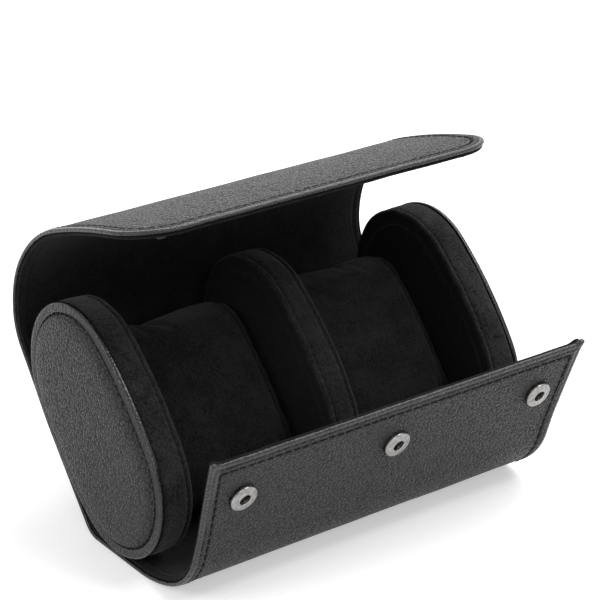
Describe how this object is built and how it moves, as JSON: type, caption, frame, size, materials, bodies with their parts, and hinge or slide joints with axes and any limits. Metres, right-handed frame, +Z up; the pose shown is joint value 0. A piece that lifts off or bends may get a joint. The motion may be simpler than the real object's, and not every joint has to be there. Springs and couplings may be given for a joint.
{
  "type": "watch travel case",
  "caption": "Oval leather-covered watch roll case standing open: padded end caps and a divider hold soft cushions, a wrap forms a hinged lid and a front flap that snap shut.",
  "frame": {"origin": "on the flat underside, mid length, straight below the lowest line of the end caps", "axes": "+X along the case from the left cap to the right cap, +Z up, the open side and the front flap face -Y"},
  "size_m": [0.1488, 0.1177, 0.1159],
  "materials": {
    "leather": "charcoal leather with a fine pebble grain",
    "suede": "near-black soft suede cloth",
    "board": "plain fibre board, hidden",
    "core_board": "plain fibre board, hidden",
    "foam": "open foam, hidden",
    "snap_metal": "gunmetal plating"
  },
  "bodies": {
    "core": {"back_leather": "leather", "back_board": "board", "back_lining": "suede", "cap_left_face": "leather", "cap_left_welt": "leather", "cap_left_band": "suede", "cap_left_core": "core_board", "cap_left_inner_panel": "suede", "cap_right_face": "leather", "cap_right_welt": "leather", "cap_right_band": "suede", "cap_right_core": "core_board", "cap_right_inner_panel": "suede", "divider_band": "suede", "divider_core": "core_board", "divider_left_panel": "suede", "divider_right_panel": "suede"},
    "crown": {"crown_leather": "leather", "crown_board": "board", "crown_lining": "suede"},
    "lid": {"lid_leather": "leather", "lid_board": "board", "lid_lining": "suede", "snap_studs": "snap_metal", "stud_posts": "snap_metal"},
    "apron": {"apron_leather": "leather", "apron_board": "board", "apron_lining": "suede"},
    "front_panel": {"panel_leather": "leather", "panel_board": "board", "panel_lining": "suede", "snap_sockets": "snap_metal", "snap_springs": "snap_metal", "socket_posts": "snap_metal"},
    "left_cushion": {"cushion_left_cover": "suede", "cushion_left_core": "foam", "cushion_left_ends": "suede"},
    "right_cushion": {"cushion_right_cover": "suede", "cushion_right_core": "foam", "cushion_right_ends": "suede"}
  },
  "joints": [
    {"name": "crown_bend", "type": "hinge", "parent": "core", "child": "crown", "pos_m": [0, 0.05324, 0.04602], "axis": [1, 0, 0], "range_deg": [0, 31.8]},
    {"name": "lid_bend", "type": "hinge", "parent": "crown", "child": "lid", "pos_m": [0, 0.03208, 0.10251], "axis": [1, 0, 0], "range_deg": [0, 25.6]},
    {"name": "apron_bend", "type": "hinge", "parent": "core", "child": "apron", "pos_m": [0, -0.006, 0], "axis": [-1, 0, 0], "range_deg": [0, 22.9]},
    {"name": "panel_bend", "type": "hinge", "parent": "apron", "child": "front_panel", "pos_m": [0, -0.04591, 0.02755], "axis": [-1, 0, 0], "range_deg": [0, 37.8]},
    {"name": "left_cushion_slide", "type": "slide", "parent": "core", "child": "left_cushion", "axis": [0, -0.729, 0.6845], "range_m": [0, 0.014]},
    {"name": "right_cushion_slide", "type": "slide", "parent": "core", "child": "right_cushion", "axis": [0, -0.729, 0.6845], "range_m": [0, 0.014]}
  ],
  "couplings": [
    {"joint": "lid_bend", "follows": "crown_bend", "ratio": 0.805},
    {"joint": "panel_bend", "follows": "apron_bend", "ratio": 1.65}
  ]
}
